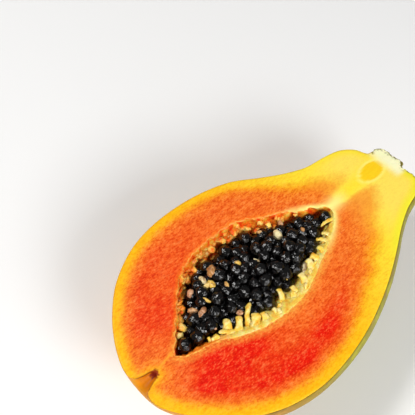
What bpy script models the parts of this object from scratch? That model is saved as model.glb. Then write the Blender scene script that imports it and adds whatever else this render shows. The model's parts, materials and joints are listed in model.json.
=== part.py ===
"""Half a papaya, cut lengthwise, lying on its rounded back with the cut face up.

Units are metres. +X runs from the blossom end to the stalk, +Z is up, out of the cut face.
While it is being modelled, the cut face lies at z = 0 and x = 0 is at the blossom-end pit.
At the end everything is moved so that the origin is under the middle, on the surface.
"""

import math
import random

import bmesh
import bpy
from mathutils import Euler, Matrix, Vector
from mathutils.bvhtree import BVHTree

# Outline of the cut face, from the blossom-end pit to the middle of the stalk stub.
# Both sides have one point for each feature, so that they pair up round the fruit's back.
FAR_SIDE = (
    (0.0016, 0.0000),  # bottom of the blossom-end pit
    (0.0002, 0.0020),
    (-0.0034, 0.0029),  # wall of the notch
    (-0.0066, 0.0046),
    (-0.0076, 0.0080),  # tip of the lobe beside the notch
    (-0.0060, 0.0140),
    (-0.0015, 0.0227),
    (0.0055, 0.0320),
    (0.0160, 0.0416),
    (0.0300, 0.0487),
    (0.0440, 0.0516),  # the belly
    (0.0600, 0.0513),
    (0.0750, 0.0484),
    (0.0880, 0.0434),
    (0.0990, 0.0358),
    (0.1090, 0.0293),
    (0.1190, 0.0244),  # the neck
    (0.1290, 0.0223),
    (0.1375, 0.0196),
    (0.1430, 0.0148),  # the shoulder
    (0.1448, 0.0104),
    (0.1466, 0.0084),  # foot of the stalk stub
    (0.1505, 0.0077),
    (0.1529, 0.0058),
    (0.1530, 0.0000),  # middle of the stub's broken end
)
NEAR_SIDE = (
    (0.0016, 0.0000),
    (0.0002, 0.0014),
    (-0.0032, 0.0023),
    (-0.0066, 0.0038),
    (-0.0078, 0.0075),
    (-0.0062, 0.0130),
    (-0.0015, 0.0208),
    (0.0060, 0.0300),
    (0.0160, 0.0394),
    (0.0300, 0.0470),
    (0.0460, 0.0508),
    (0.0620, 0.0506),
    (0.0780, 0.0479),
    (0.0920, 0.0436),
    (0.1040, 0.0387),
    (0.1150, 0.0332),
    (0.1260, 0.0272),
    (0.1360, 0.0229),
    (0.1450, 0.0206),
    (0.1510, 0.0166),
    (0.1516, 0.0106),
    (0.1512, 0.0076),
    (0.1523, 0.0064),
    (0.1538, 0.0049),
    (0.1530, 0.0000),
)

# Edge of the seed cavity on the cut face, from its blossom-end tip to its stalk-end tip.
CAVITY_FAR_EDGE = (
    (0.0120, 0.0000),
    (0.0145, 0.0030),
    (0.0200, 0.0080),
    (0.0270, 0.0150),
    (0.0340, 0.0215),
    (0.0410, 0.0262),
    (0.0500, 0.0284),
    (0.0600, 0.0286),
    (0.0700, 0.0276),
    (0.0780, 0.0245),
    (0.0860, 0.0194),
    (0.0950, 0.0138),
    (0.1030, 0.0086),
    (0.1085, 0.0046),
    (0.1105, 0.0015),
)
CAVITY_NEAR_EDGE = (
    (0.0120, 0.0000),
    (0.0150, -0.0030),
    (0.0220, -0.0054),
    (0.0300, -0.0080),
    (0.0370, -0.0123),
    (0.0450, -0.0160),
    (0.0540, -0.0183),
    (0.0640, -0.0193),
    (0.0730, -0.0184),
    (0.0820, -0.0155),
    (0.0910, -0.0120),
    (0.0990, -0.0086),
    (0.1050, -0.0050),
    (0.1090, -0.0016),
    (0.1105, 0.0015),
)

# The rounded back.
BACK_SEGMENTS = 22
STATION_SPACING = 0.0033
FAR_TAPER = 0.09  # the far flank draws in below the cut, which passed just off the middle
NEAR_SWELL = 0.12  # and the near one swells out
STALK_SWELL = 0.28  # by more and more towards the stalk
SWELL_FROM = 0.050
SWELL_TO = 0.120
DEPTH_SHARE = 0.97  # depth of the back against its radius
BELLY_SHIFT = 0.006  # how much nearer the stalk the back is deepest than the cut is widest
LOBE_HEIGHT = 0.010  # the five low lobes of a papaya, as a share of the radius
LOBES = 5
FLAT_SPOT_DEPTH = 0.0012  # how much the resting fruit is flattened underneath

# The cavity.
CAVITY_DEPTH = 0.0245
CAVITY_STATIONS = 76
CAVITY_ROWS = 13
TIP_FULLNESS = 0.55  # how soon the cavity deepens from its two tips
WALL_FULLNESS = 0.55  # how soon the far wall falls from its edge
RIDGE_HEIGHT = 0.0013  # the ridges of the lining that carried the seeds
RIDGE_PITCH = 0.0052
RIDGE_SWAYS = ((0.9, 95.0), (0.6, 211.0))  # how much, and how often, their pitch varies
RIDGE_ROUNDNESS = 0.7
RIDGE_TOP = 0.97  # how far across, as a share of the half width, the ridges reach
NEAR_RIDGES = 0.45  # their height on the near slope, as a share of that on the far wall
RIDGE_FOCUS = 0.4  # the ridges stand up towards a line at this share of the depth

# The strands of the lining, which stand out of it among the seeds. A strand is a flat,
# tapered flap. Each line gives where it is rooted, along the fruit and across the cavity
# (-1 is the near edge and 1 the far one), how far from there its tip lies, along, across
# and up, how far its middle is bowed along the fruit, and its width at the root.
STRANDS = (
    (0.0382, -0.83, -0.0062, 0.0049, 0.0010, 0.0, 0.0020),
    (0.0350, -0.80, 0.0042, 0.0054, 0.0009, 0.0, 0.0036),
    (0.0392, -0.84, 0.0042, 0.0050, 0.0006, 0.0, 0.0030),
    (0.0452, -0.80, 0.0068, 0.0076, 0.0006, -0.0022, 0.0023),
    (0.0464, -0.87, 0.0030, 0.0042, 0.0002, 0.0, 0.0040),
    (0.0510, -0.87, 0.0006, 0.0036, -0.0006, 0.0, 0.0030),
    (0.0622, -0.80, 0.0026, 0.0060, 0.0009, 0.0, 0.0022),
    (0.0690, -0.84, 0.0008, 0.0036, 0.0000, 0.0, 0.0026),
    (0.0755, -0.88, 0.0012, 0.0046, 0.0000, 0.0, 0.0032),
    (0.0825, -0.87, 0.0014, 0.0046, 0.0003, 0.0, 0.0034),
    (0.0880, -0.87, -0.0014, 0.0034, 0.0002, 0.0, 0.0032),
    (0.0924, -0.89, -0.0010, 0.0026, 0.0000, 0.0, 0.0024),
    (0.0976, -0.90, -0.0034, 0.0040, -0.0004, 0.0, 0.0017),
    (0.1002, -0.88, -0.0022, 0.0028, -0.0002, 0.0, 0.0015),
    (0.1076, -0.90, -0.0068, 0.0014, -0.0014, 0.0006, 0.0015),
    (0.0190, 0.970, 0.0022, -0.0020, 0.0008, 0.0, 0.0025),
    (0.0228, 0.970, 0.0012, -0.0048, 0.0012, 0.0, 0.0032),
    (0.0290, 0.975, 0.0010, -0.0034, 0.0008, 0.0, 0.0026),
    (0.0411, 0.980, -0.0006, -0.0048, -0.0010, 0.0, 0.0028),
    (0.0450, 0.980, 0.0010, -0.0045, -0.0005, 0.0008, 0.0026),
    (0.0583, 0.985, 0.0010, -0.0038, -0.0010, 0.0, 0.0030),
    (0.0642, 0.985, 0.0020, -0.0036, -0.0010, 0.0, 0.0028),
    (0.0723, 0.985, -0.0008, -0.0034, -0.0006, 0.0, 0.0027),
    (0.0788, 0.980, -0.0009, -0.0028, 0.0004, 0.0, 0.0023),
    (0.0866, 0.980, -0.0012, -0.0036, -0.0002, 0.0, 0.0023),
)
STRAND_SIDES = 6
STRAND_TAPER = (1.0, 0.86, 0.56)  # its width at the root, the middle and the tip
STRAND_THICKNESS = (0.57, 0.43, 0.32)  # and its thickness there, against the width
STRAND_ROOT = 0.0013  # how far a strand's root is sunk into the lining
STRAND_ARCH = 0.0005  # how far its middle arches up
STRAND_STATIONS = 200

# The seeds.
SEED_RADIUS = 0.0030
SEED_STRETCH = 1.12
SEED_CORNERS = 7
SEED_RINGS = 5
SEED_SPACING = 0.72  # between two seeds' middles, as a share of their two radii
SEED_CLEARANCE = 0.0004  # between a seed and the fruit
SEED_SIZES = (0.90, 1.08)  # smallest and largest, against SEED_RADIUS
SEED_TRIES = 9000
SEED_STATIONS = 120
NEAR_LEVEL = -0.0037  # height of the seeds' middles along the cavity's near side
FAR_LEVEL = -0.0088  # and along its far side, where the heap has sunk
CROWN = 0.0020  # how much higher than that the middle of the heap stands
LEVEL_SPREAD = 0.0022  # how far up and down the seeds lie from the heap's surface
CHANCE_START = 7  # where the random draws start, so that they are the same every time
CORE_INSET = 0.0026  # how far the core's bottom lies above the lining's
CORE_WIDTH = 0.84  # the core's width, as a share of the cavity's
CORE_DROP = 0.0012  # how far the core's top lies under the heap's surface
CORE_RIM = 0.0016  # least height of the core's rim
CORE_STATIONS = 24
CORE_SAMPLES = 60
CORE_BOTTOM_ROWS = 6
CORE_TOP_ROWS = 4

# Colours and finishes.
SKIN_AND_FLESH = ((0.93, 0.30, 0.06), 0.45)
SEED_BLACK = ((0.020, 0.014, 0.012), 0.25)


def clear_scene():
    for thing in list(bpy.data.objects):
        bpy.data.objects.remove(thing)


def material(name, colour, roughness):
    made = bpy.data.materials.new(name)
    made.use_nodes = True
    shader = made.node_tree.nodes["Principled BSDF"]
    shader.inputs["Base Color"].default_value = (*colour, 1.0)
    shader.inputs["Roughness"].default_value = roughness
    shader.inputs["Metallic"].default_value = 0.0
    made.diffuse_color = (*colour, 1.0)
    return made


def object_from(bm, name, finish=None):
    """Makes an object of the finished mesh, with its faces pointing out."""
    bmesh.ops.recalc_face_normals(bm, faces=bm.faces[:])
    mesh = bpy.data.meshes.new(name)
    bm.to_mesh(mesh)
    bm.free()
    thing = bpy.data.objects.new(name, mesh)
    bpy.context.scene.collection.objects.link(thing)
    if finish:
        mesh.materials.append(finish)
    return thing


def curve_through(points, counts):
    """A Catmull-Rom curve through the points, with counts[k] steps from point k to the next."""
    knots = [Vector(p) for p in points]
    padded = [knots[0] * 2 - knots[1], *knots, knots[-1] * 2 - knots[-2]]
    made = []
    for k, count in enumerate(counts):
        a, b, c, d = padded[k : k + 4]
        for step in range(count):
            t = step / count
            bend = (2 * a - 5 * b + 4 * c - d) * t**2 + (3 * b - a - 3 * c + d) * t**3
            made.append(0.5 * (2 * b + (c - a) * t + bend))
    made.append(knots[-1])
    return made


def read_along(points, share):
    """The point at this share of the curve's length."""
    steps = [(b - a).length for a, b in zip(points, points[1:])]
    left = share * sum(steps)
    for a, b, step in zip(points, points[1:], steps):
        if left <= step:
            return a.lerp(b, left / step)
        left -= step
    return points[-1].copy()


def outlines():
    """Both sides of the cut face's outline, with as many points on each."""
    knots = [Vector(p) for p in FAR_SIDE]
    counts = [max(1, round((b - a).length / STATION_SPACING)) for a, b in zip(knots, knots[1:])]
    return curve_through(FAR_SIDE, counts), curve_through(NEAR_SIDE, counts)


def cavity_edges(stations):
    """Both edges of the cavity on the cut face, with as many points on each."""
    far = curve_through(CAVITY_FAR_EDGE, [4] * (len(CAVITY_FAR_EDGE) - 1))
    near = curve_through(CAVITY_NEAR_EDGE, [4] * (len(CAVITY_NEAR_EDGE) - 1))
    shares = [k / stations for k in range(stations + 1)]
    return [read_along(far, s) for s in shares], [read_along(near, s) for s in shares]


def back_point(far, near, angle):
    """A point of the back, at this angle from the far side (0) round to the near side (pi)."""
    to_far = (1 + math.cos(angle)) / 2
    under = math.sin(angle)
    along = near.x + (far.x - near.x) * to_far
    radius = near.y + (far.y - near.y) * to_far
    radius *= 1 + LOBE_HEIGHT * math.sin(LOBES * angle)
    to_stalk = min(max((along - SWELL_FROM) / (SWELL_TO - SWELL_FROM), 0), 1)
    near_swell = NEAR_SWELL + STALK_SWELL * to_stalk
    swell = near_swell - (FAR_TAPER + near_swell) * to_far
    across = radius * math.cos(angle) * (1 + swell * under)
    widest = max(p[1] for p in FAR_SIDE)
    along += BELLY_SHIFT * under * (radius / widest) ** 2
    return Vector((along, across, -DEPTH_SHARE * radius * under))


def lining_fall(across):
    """Depth of the lining, as a share of the cavity's, from its near edge (-1) to its far
    edge (1): a soft slope from the near edge, and a steep wall up to the far one."""
    if across > 0:
        return (1 - across**3) ** WALL_FULLNESS
    return 1 - across * across * (3 + 2 * across)


def ridge(along, across, share):
    """Height of the lining's ridges, which run down from the cavity's edges."""
    sway = sum(much * math.sin(often * along) for much, often in RIDGE_SWAYS)
    wave = abs(math.sin(math.pi * along / RIDGE_PITCH + sway)) ** RIDGE_ROUNDNESS
    fade = min(1.0, (1 - abs(across)) / (1 - RIDGE_TOP), 8 * share * (1 - share))
    weight = 1.0 if across > 0 else NEAR_RIDGES
    return RIDGE_HEIGHT * weight * wave * fade


def cavity_depth(share):
    return CAVITY_DEPTH * (4 * share * (1 - share)) ** TIP_FULLNESS


def cavity_point(far, near, share, across, relief=True):
    """A point of the lining, at this share of the cavity's length, from its near edge
    (across = -1) down to the bottom (0) and up to its far edge (1)."""
    middle = (far + near) / 2
    flat = middle + (far - middle) * across
    depth = cavity_depth(share)
    lining = Vector((flat.x, flat.y, -depth * lining_fall(across)))
    if relief:
        inward = Vector((middle.x, middle.y, -RIDGE_FOCUS * depth)) - lining
        lining += inward.normalized() * ridge(far.x, across, share)
    return lining


def quads_between(bm, one, other):
    """Faces between two rows of points of the same count. Where the rows share a point, a
    triangle takes the place of the quad."""
    for k in range(len(one) - 1):
        corners = []
        for corner in (one[k], one[k + 1], other[k + 1], other[k]):
            if corner not in corners:
                corners.append(corner)
        if len(corners) > 2:
            bm.faces.new(corners)


def add_back(bm):
    """The fruit's skin side. Returns the cut face's outline as one loop of points."""
    far, near = outlines()
    pit = bm.verts.new((*far[0], 0.0))
    stub = bm.verts.new((*far[-1], 0.0))
    rows = []
    for k in range(BACK_SEGMENTS + 1):
        angle = math.pi * k / BACK_SEGMENTS
        inner = zip(far[1:-1], near[1:-1])
        rows.append([pit, *(bm.verts.new(back_point(f, n, angle)) for f, n in inner), stub])
    for one, other in zip(rows, rows[1:]):
        quads_between(bm, one, other)
    return rows[0] + rows[-1][-2:0:-1]


def add_cavity(bm):
    """The lining. Returns the cavity's edge on the cut face as one loop of points."""
    far, near = cavity_edges(CAVITY_STATIONS)
    tips = bm.verts.new((*far[0], 0.0)), bm.verts.new((*far[-1], 0.0))
    rows = []
    for k in range(CAVITY_ROWS + 1):
        across = math.cos(math.pi * k / CAVITY_ROWS)
        relief = 0 < k < CAVITY_ROWS
        made = [
            bm.verts.new(cavity_point(far[s], near[s], s / CAVITY_STATIONS, across, relief))
            for s in range(1, CAVITY_STATIONS)
        ]
        rows.append([tips[0], *made, tips[1]])
    for one, other in zip(rows, rows[1:]):
        quads_between(bm, one, other)
    return rows[0] + rows[-1][-2:0:-1]


def add_cut_face(bm, outline, cavity):
    """Fills the plane between the outline and the cavity's edge."""
    rims = [
        bm.edges.get((a, b))
        for loop in (outline, cavity)
        for a, b in zip(loop, loop[1:] + loop[:1])
    ]
    bmesh.ops.triangle_fill(bm, edges=rims, use_beauty=True, normal=(0, 0, 1))


def flatten_underneath(bm):
    """Cuts the small flat spot that the fruit rests on."""
    level = min(v.co.z for v in bm.verts) + FLAT_SPOT_DEPTH
    bmesh.ops.bisect_plane(
        bm, geom=bm.verts[:] + bm.edges[:] + bm.faces[:],
        plane_co=(0, 0, level), plane_no=(0, 0, -1), clear_outer=True,
    )
    bmesh.ops.contextual_create(bm, geom=[e for e in bm.edges if e.is_boundary])


def strand_foot(along, across):
    """The point of the lining at this place along the fruit and across the cavity."""
    far, near = cavity_edges(STRAND_STATIONS)

    def miss(s):
        flat = (far[s].x + near[s].x) / 2 + (far[s].x - near[s].x) / 2 * across
        return abs(flat - along)

    s = min(range(STRAND_STATIONS + 1), key=miss)
    return cavity_point(far[s], near[s], s / STRAND_STATIONS, across, relief=False)


def strand(along, across, *shape):
    """One strand: a bent, tapered flap with a blunt end."""
    to_x, to_y, rise, bow, width = shape
    foot = strand_foot(along, across)
    reach = Vector((to_x, to_y, rise))
    root = foot - reach.normalized() * STRAND_ROOT
    bend = foot + reach / 2 + Vector((bow, 0, STRAND_ARCH))
    tip = foot + reach
    bm = bmesh.new()
    rings = []
    ways = (bend - root, tip - root, tip - bend)
    for place, way, taper, thick in zip((root, bend, tip), ways, STRAND_TAPER, STRAND_THICKNESS):
        turn = way.to_track_quat("Z", "Y")
        ring = []
        for k in range(STRAND_SIDES):
            angle = 2 * math.pi * k / STRAND_SIDES
            corner = Vector((taper * math.cos(angle), thick * math.sin(angle), 0)) * width / 2
            ring.append(bm.verts.new(place + turn @ corner))
        rings.append(ring)
    for one, other in zip(rings, rings[1:]):
        quads_between(bm, [*one, one[0]], [*other, other[0]])
    bm.faces.new(reversed(rings[0]))
    bm.faces.new(rings[-1])
    return object_from(bm, "strand")


def join(base, repeats):
    """Joins the repeats to the base by one Boolean union, applied, and clears them away. A
    hollow that the union seals is filled, and a scrap that hangs loose is dropped."""
    group = bpy.data.collections.new("repeats")
    bpy.context.scene.collection.children.link(group)
    for thing in repeats:
        bpy.context.scene.collection.objects.unlink(thing)
        group.objects.link(thing)
    union = base.modifiers.new("Union", "BOOLEAN")
    union.operation = "UNION"
    union.operand_type = "COLLECTION"
    union.collection = group
    union.solver = "EXACT"
    graph = bpy.context.evaluated_depsgraph_get()
    joined = bpy.data.meshes.new_from_object(base.evaluated_get(graph))
    base.modifiers.clear()
    base.data = joined
    for thing in repeats:
        bpy.data.objects.remove(thing)
    bpy.data.collections.remove(group)
    keep_largest_body(base.data)


def keep_largest_body(mesh):
    bm = bmesh.new()
    bm.from_mesh(mesh)
    left = set(bm.verts)
    bodies = []
    while left:
        body = {left.pop()}
        edge_of_body = list(body)
        while edge_of_body:
            spot = edge_of_body.pop()
            reached = {e.other_vert(spot) for e in spot.link_edges} & left
            left -= reached
            body |= reached
            edge_of_body.extend(reached)
        bodies.append(body)
    bodies.sort(key=len)
    loose = [v for body in bodies[:-1] for v in body]
    bmesh.ops.delete(bm, geom=loose, context="VERTS")
    bm.to_mesh(mesh)
    bm.free()


def papaya_half():
    bm = bmesh.new()
    outline = add_back(bm)
    cavity = add_cavity(bm)
    add_cut_face(bm, outline, cavity)
    flatten_underneath(bm)
    fruit = object_from(bm, "papaya_half", material("skin and flesh", *SKIN_AND_FLESH))
    join(fruit, [strand(*line) for line in STRANDS])
    return fruit


def heap_level(x, y, far, near):
    """Height of the heap's surface: crowned in its middle, and lower along the far side."""
    f = min(far, key=lambda p: abs(p.x - x)).y
    n = min(near, key=lambda p: abs(p.x - x)).y
    to_far = min(max((y - n) / max(f - n, 1e-6), 0), 1)
    crown = CROWN * 4 * to_far * (1 - to_far)
    return NEAR_LEVEL + (FAR_LEVEL - NEAR_LEVEL) * to_far**2 + crown


def seed_places(chance, surface):
    """Middle and radius of each seed: thrown at random over the heap, and kept where it lies
    clear of the fruit's surface and of the seeds before it."""
    far, near = cavity_edges(SEED_STATIONS)
    made = []
    for _ in range(SEED_TRIES):
        s = chance.randrange(2, SEED_STATIONS - 1)
        to_far = chance.random()
        flat = near[s].lerp(far[s], to_far)
        level = heap_level(flat.x, flat.y, far, near)
        place = Vector((flat.x, flat.y, level + chance.uniform(-LEVEL_SPREAD, LEVEL_SPREAD)))
        radius = SEED_RADIUS * chance.uniform(*SEED_SIZES)
        spot, normal, _, gap = surface.find_nearest(place)
        in_the_open = (place - spot).dot(normal) > 0
        clear = gap > radius * SEED_STRETCH + SEED_CLEARANCE
        if in_the_open and clear and all(
            (place - other).length > SEED_SPACING * (radius + size) for other, size in made
        ):
            made.append((place, radius))
    return made


def seed_at(place, radius, chance):
    bm = bmesh.new()
    bmesh.ops.create_uvsphere(
        bm, u_segments=SEED_CORNERS, v_segments=SEED_RINGS, radius=radius
    )
    turn = Euler([chance.uniform(0, math.pi) for _ in range(3)]).to_matrix().to_4x4()
    stretch = Matrix.Diagonal((1, 1, SEED_STRETCH, 1))
    bm.transform(Matrix.Translation(place) @ turn @ stretch)
    return object_from(bm, "seed")


def core_section(s, far, near):
    """One section of the heap's core: over its top from near to far, and back along its
    bottom. It spans what lies well below the heap's surface, drawn in from the lining."""
    share = s / CORE_STATIONS
    depth = cavity_depth(share) - CORE_INSET
    deep = []
    for k in range(-CORE_SAMPLES, CORE_SAMPLES + 1):
        across = k / CORE_SAMPLES
        flat = cavity_point(far[s], near[s], share, across * CORE_WIDTH, relief=False)
        point = Vector((flat.x, flat.y, -depth * lining_fall(across)))
        if point.z < heap_level(point.x, point.y, far, near) - CORE_DROP - CORE_RIM:
            deep.append(point)
    if len(deep) < CORE_SAMPLES / 3:
        return None
    top = []
    for k in range(CORE_TOP_ROWS + 1):
        point = deep[0].lerp(deep[-1], k / CORE_TOP_ROWS)
        point.z = heap_level(point.x, point.y, far, near) - CORE_DROP
        top.append(point)
    steps = [round(k * (len(deep) - 1) / CORE_BOTTOM_ROWS) for k in range(CORE_BOTTOM_ROWS + 1)]
    return top + [deep[step].copy() for step in reversed(steps)]


def core():
    """The inside of the heap, which the seeds stand out of: a boat that follows the lining."""
    far, near = cavity_edges(CORE_STATIONS)
    sections = (core_section(s, far, near) for s in range(CORE_STATIONS + 1))
    bm = bmesh.new()
    rings = [[bm.verts.new(p) for p in section] for section in sections if section]
    for one, other in zip(rings, rings[1:]):
        quads_between(bm, [*one, one[0]], [*other, other[0]])
    bm.faces.new(rings[0])
    bm.faces.new(rings[-1])
    return object_from(bm, "seeds", material("seed black", *SEED_BLACK))


def seeds(chance, fruit):
    surface = BVHTree.FromObject(fruit, bpy.context.evaluated_depsgraph_get())
    heap = core()
    places = seed_places(chance, surface)
    join(heap, [seed_at(place, radius, chance) for place, radius in places])
    return heap


def stand_on_surface(things):
    """Moves everything so that the origin is under the middle of the whole, on the surface."""
    points = [v.co for thing in things for v in thing.data.vertices]
    low = [min(p[k] for p in points) for k in range(3)]
    high = [max(p[k] for p in points) for k in range(3)]
    shift = Vector((-(low[0] + high[0]) / 2, -(low[1] + high[1]) / 2, -low[2]))
    for thing in things:
        thing.data.transform(Matrix.Translation(shift))
        thing.data.set_sharp_from_angle(angle=math.radians(40))
    print("moved by", [round(value, 6) for value in shift])


def build():
    clear_scene()
    fruit = papaya_half()
    heap = seeds(random.Random(CHANCE_START), fruit)
    stand_on_surface([fruit, heap])


build()
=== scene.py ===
# %% [markdown]
# Half a papaya, dressed.
#
# The imported model gives the solid fruit and its heap of seeds. This lesson gives them their
# looks: a fine, closed body for skin, flesh and the lining of the cavity, wet wrinkled seeds,
# the pale strands and the seeds that never ripened, and then the light and the camera.
#
# First the frame is loaded. The box of the imported fruit is kept straight away, because the
# visual model is placed by it.

# %% Load the frame
import json
import math
import random

import bpy
import numpy as np
from mathutils import Euler, Matrix, Vector, noise
from mathutils.bvhtree import BVHTree

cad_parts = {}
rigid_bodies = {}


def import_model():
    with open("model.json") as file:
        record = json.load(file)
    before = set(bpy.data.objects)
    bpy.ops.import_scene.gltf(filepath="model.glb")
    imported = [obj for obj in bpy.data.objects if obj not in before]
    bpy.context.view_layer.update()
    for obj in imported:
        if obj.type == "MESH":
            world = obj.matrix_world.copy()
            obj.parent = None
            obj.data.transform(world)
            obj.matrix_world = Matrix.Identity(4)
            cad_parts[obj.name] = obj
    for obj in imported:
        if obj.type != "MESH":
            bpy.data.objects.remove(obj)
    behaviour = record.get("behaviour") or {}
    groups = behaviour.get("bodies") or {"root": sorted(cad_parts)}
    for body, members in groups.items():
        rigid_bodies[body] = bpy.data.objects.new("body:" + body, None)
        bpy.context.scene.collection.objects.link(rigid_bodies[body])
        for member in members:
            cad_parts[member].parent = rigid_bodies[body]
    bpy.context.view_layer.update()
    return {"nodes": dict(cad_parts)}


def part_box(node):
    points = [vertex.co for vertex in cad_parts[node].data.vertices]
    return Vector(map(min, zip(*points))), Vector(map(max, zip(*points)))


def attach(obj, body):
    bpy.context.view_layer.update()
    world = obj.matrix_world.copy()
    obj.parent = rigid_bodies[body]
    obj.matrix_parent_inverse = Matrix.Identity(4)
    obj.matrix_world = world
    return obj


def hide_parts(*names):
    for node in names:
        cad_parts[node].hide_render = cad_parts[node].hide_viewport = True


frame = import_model()
fruit_low, fruit_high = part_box("papaya_half")
mm = 0.001
print("nodes:", sorted(frame["nodes"]))
print("fruit:", [round(v / mm, 1) for v in fruit_high - fruit_low], "mm")

# %% [markdown]
# A few helpers come first. An operator works on all that is selected, so each step begins
# with nothing selected but the piece in hand.

# %% Helpers for pieces
MERGE_DISTANCE = 0.02 * mm


def only(piece):
    """Selects this piece alone and makes it the active one."""
    if bpy.context.mode != "OBJECT":
        bpy.ops.object.mode_set(mode="OBJECT")
    bpy.ops.object.select_all(action="DESELECT")
    piece.select_set(True)
    bpy.context.view_layer.objects.active = piece
    return piece


def merge(pieces, name):
    """Joins the pieces into the first one."""
    only(pieces[0])
    for piece in pieces[1:]:
        piece.select_set(True)
    if len(pieces) > 1:
        bpy.ops.object.join()
    pieces[0].name = name
    pieces[0].data.name = name
    return pieces[0]


def weld(piece):
    """Merges the points that lie together, and turns all faces outwards."""
    only(piece)
    bpy.ops.object.mode_set(mode="EDIT")
    bpy.ops.mesh.select_all(action="SELECT")
    bpy.ops.mesh.remove_doubles(threshold=MERGE_DISTANCE)
    bpy.ops.mesh.normals_make_consistent(inside=False)
    bpy.ops.object.mode_set(mode="OBJECT")


def smooth(piece):
    only(piece)
    bpy.ops.object.shade_smooth()


def points_of(piece, kind="co"):
    """The places of the points, or their normals."""
    read_out = np.empty(len(piece.data.vertices) * 3, np.float32)
    piece.data.vertices.foreach_get(kind, read_out)
    return read_out.reshape(-1, 3).astype(float)


def move_points(piece, places):
    piece.data.vertices.foreach_set("co", np.asarray(places, np.float32).ravel())
    piece.data.update()


def store(piece, **numbers):
    """Keeps numbers on the points, under their names, for the materials to read."""
    for name, values in numbers.items():
        made = piece.data.attributes.new(name, "FLOAT", "POINT")
        made.data.foreach_set("value", np.full(len(piece.data.vertices), values, np.float32))


# %% [markdown]
# The outline of a papaya half is a curve with no straight part in it, so a handful of points
# on a smooth curve describe it best. The two sides are listed with one point for each
# feature, in millimetres from the pit at the blossom end, so that point k of one side faces
# point k of the other.

# %% The outlines of the cut face
FAR_SIDE = [
    (1.6, 0), (0.2, 2), (-3.4, 2.9), (-6.6, 4.6), (-7.6, 8), (-6, 14), (-1.5, 22.7),
    (5.5, 32), (16, 41.6), (30, 48.7), (44, 51.6), (60, 51.3), (75, 48.4),
    (88, 43.4), (99, 35.8), (109, 29.3), (119, 24.4), (129, 22.3), (137.5, 19.6),
    (143, 14.8), (144.8, 10.4), (146.6, 8.4), (150.5, 7.7), (152.9, 5.8), (153, 0),
]
NEAR_SIDE = [
    (1.6, 0), (0.2, 1.4), (-3.2, 2.3), (-6.6, 3.8), (-7.8, 7.5), (-6.2, 13), (-1.5, 20.8),
    (6, 30), (16, 39.4), (30, 47), (46, 50.8), (62, 50.6), (78, 47.9),
    (92, 43.6), (104, 38.7), (115, 33.2), (126, 27.2), (136, 22.9), (145, 20.6),
    (151, 16.6), (151.6, 10.6), (151.2, 7.6), (152.3, 6.4), (153.8, 4.9), (153, 0),
]
CAVITY_FAR_EDGE = [
    (12, 0), (14.5, 3), (20, 8), (27, 15), (34, 21.5), (41, 26.2),
    (50, 28.4), (60, 28.6), (70, 27.6), (78, 24.5), (86, 19.4), (95, 13.8),
    (103, 8.6), (108.5, 4.6), (110.5, 1.5),
]
CAVITY_NEAR_EDGE = [
    (12, 0), (15, -3), (22, -5.4), (30, -8), (37, -12.3), (45, -16),
    (54, -18.3), (64, -19.3), (73, -18.4), (82, -15.5), (91, -12), (99, -8.6),
    (105, -5), (109, -1.6), (110.5, 1.5),
]
CURVE_STEPS = 24


def smooth_curve(points, steps=CURVE_STEPS):
    """A Catmull-Rom curve through the points, in metres, as rows of x and y."""
    knots = np.array(points) * mm
    padded = np.vstack([2 * knots[0] - knots[1], knots, 2 * knots[-1] - knots[-2]])
    t = np.linspace(0, 1, steps, endpoint=False)[:, None]
    rows = []
    for a, b, c, d in zip(padded, padded[1:], padded[2:], padded[3:]):
        bend = (2 * a - 5 * b + 4 * c - d) * t**2 + (3 * b - a - 3 * c + d) * t**3
        rows.append(0.5 * (2 * b + (c - a) * t + bend))
    return np.vstack(rows + [knots[-1:]])


def share_along(curve):
    """How far along its own length each point of the curve lies, from 0 to 1."""
    steps = np.linalg.norm(np.diff(curve, axis=0), axis=1)
    total = np.concatenate([[0.0], np.cumsum(steps)])
    return total / total[-1]


def read(curve, shares, along):
    return np.stack([np.interp(shares, along, column) for column in curve.T], -1)


far_curve = smooth_curve(FAR_SIDE)
near_curve = smooth_curve(NEAR_SIDE)
skin_along = share_along(far_curve)
cavity_far = smooth_curve(CAVITY_FAR_EDGE)
cavity_near = smooth_curve(CAVITY_NEAR_EDGE)
print("cut face:", round(np.ptp(far_curve[:, 0]) / mm, 1), "mm from lobe to stub")

# %% [markdown]
# Each surface of the fruit is a sheet or two: the skin under it, the cut face, and the lining
# of the cavity. A sheet starts as a flat grid primitive. A rule then says where the grid's
# point at (u, v) goes, both running from 0 to 1. Once the sheets are shaped, their shared
# borders have the same points, and merging by distance closes the body.

# %% A sheet shaped by a rule
def sheet(name, columns, rows, rule):
    bpy.ops.object.select_all(action="DESELECT")
    bpy.ops.mesh.primitive_grid_add(x_subdivisions=columns, y_subdivisions=rows, size=1.0)
    made = bpy.context.object
    made.name = name
    flat = points_of(made)
    move_points(made, rule(flat[:, 0] + 0.5, flat[:, 1] + 0.5))
    return made


def smoothstep(low, high, value):
    t = np.clip((value - low) / (high - low), 0, 1)
    return t * t * (3 - 2 * t)


# %% [markdown]
# The skin side is a half lathe: at each angle from the far side of the cut, under the fruit,
# to the near side, its radius goes over from one outline to the other. Papayas have five low
# lobes, and the belly hangs deepest a little nearer the stalk. The cut passed just off the
# middle, so the far flank draws in below it while the near one swells out, most of all
# towards the stalk. The fruit is flattened where it rests.

# %% The skin
FAR_TAPER = 0.09
NEAR_SWELL = 0.12
STALK_SWELL = 0.28
SWELL_FROM = 50 * mm
SWELL_TO = 120 * mm
DEPTH_SHARE = 0.97
BELLY_SHIFT = 6.0 * mm
LOBE_HEIGHT = 0.010
LOBES = 5
FLAT_SPOT_DEPTH = 1.2 * mm
SKIN_COLUMNS = 300
SKIN_ROWS = 110
WIDEST = 51.6 * mm


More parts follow.
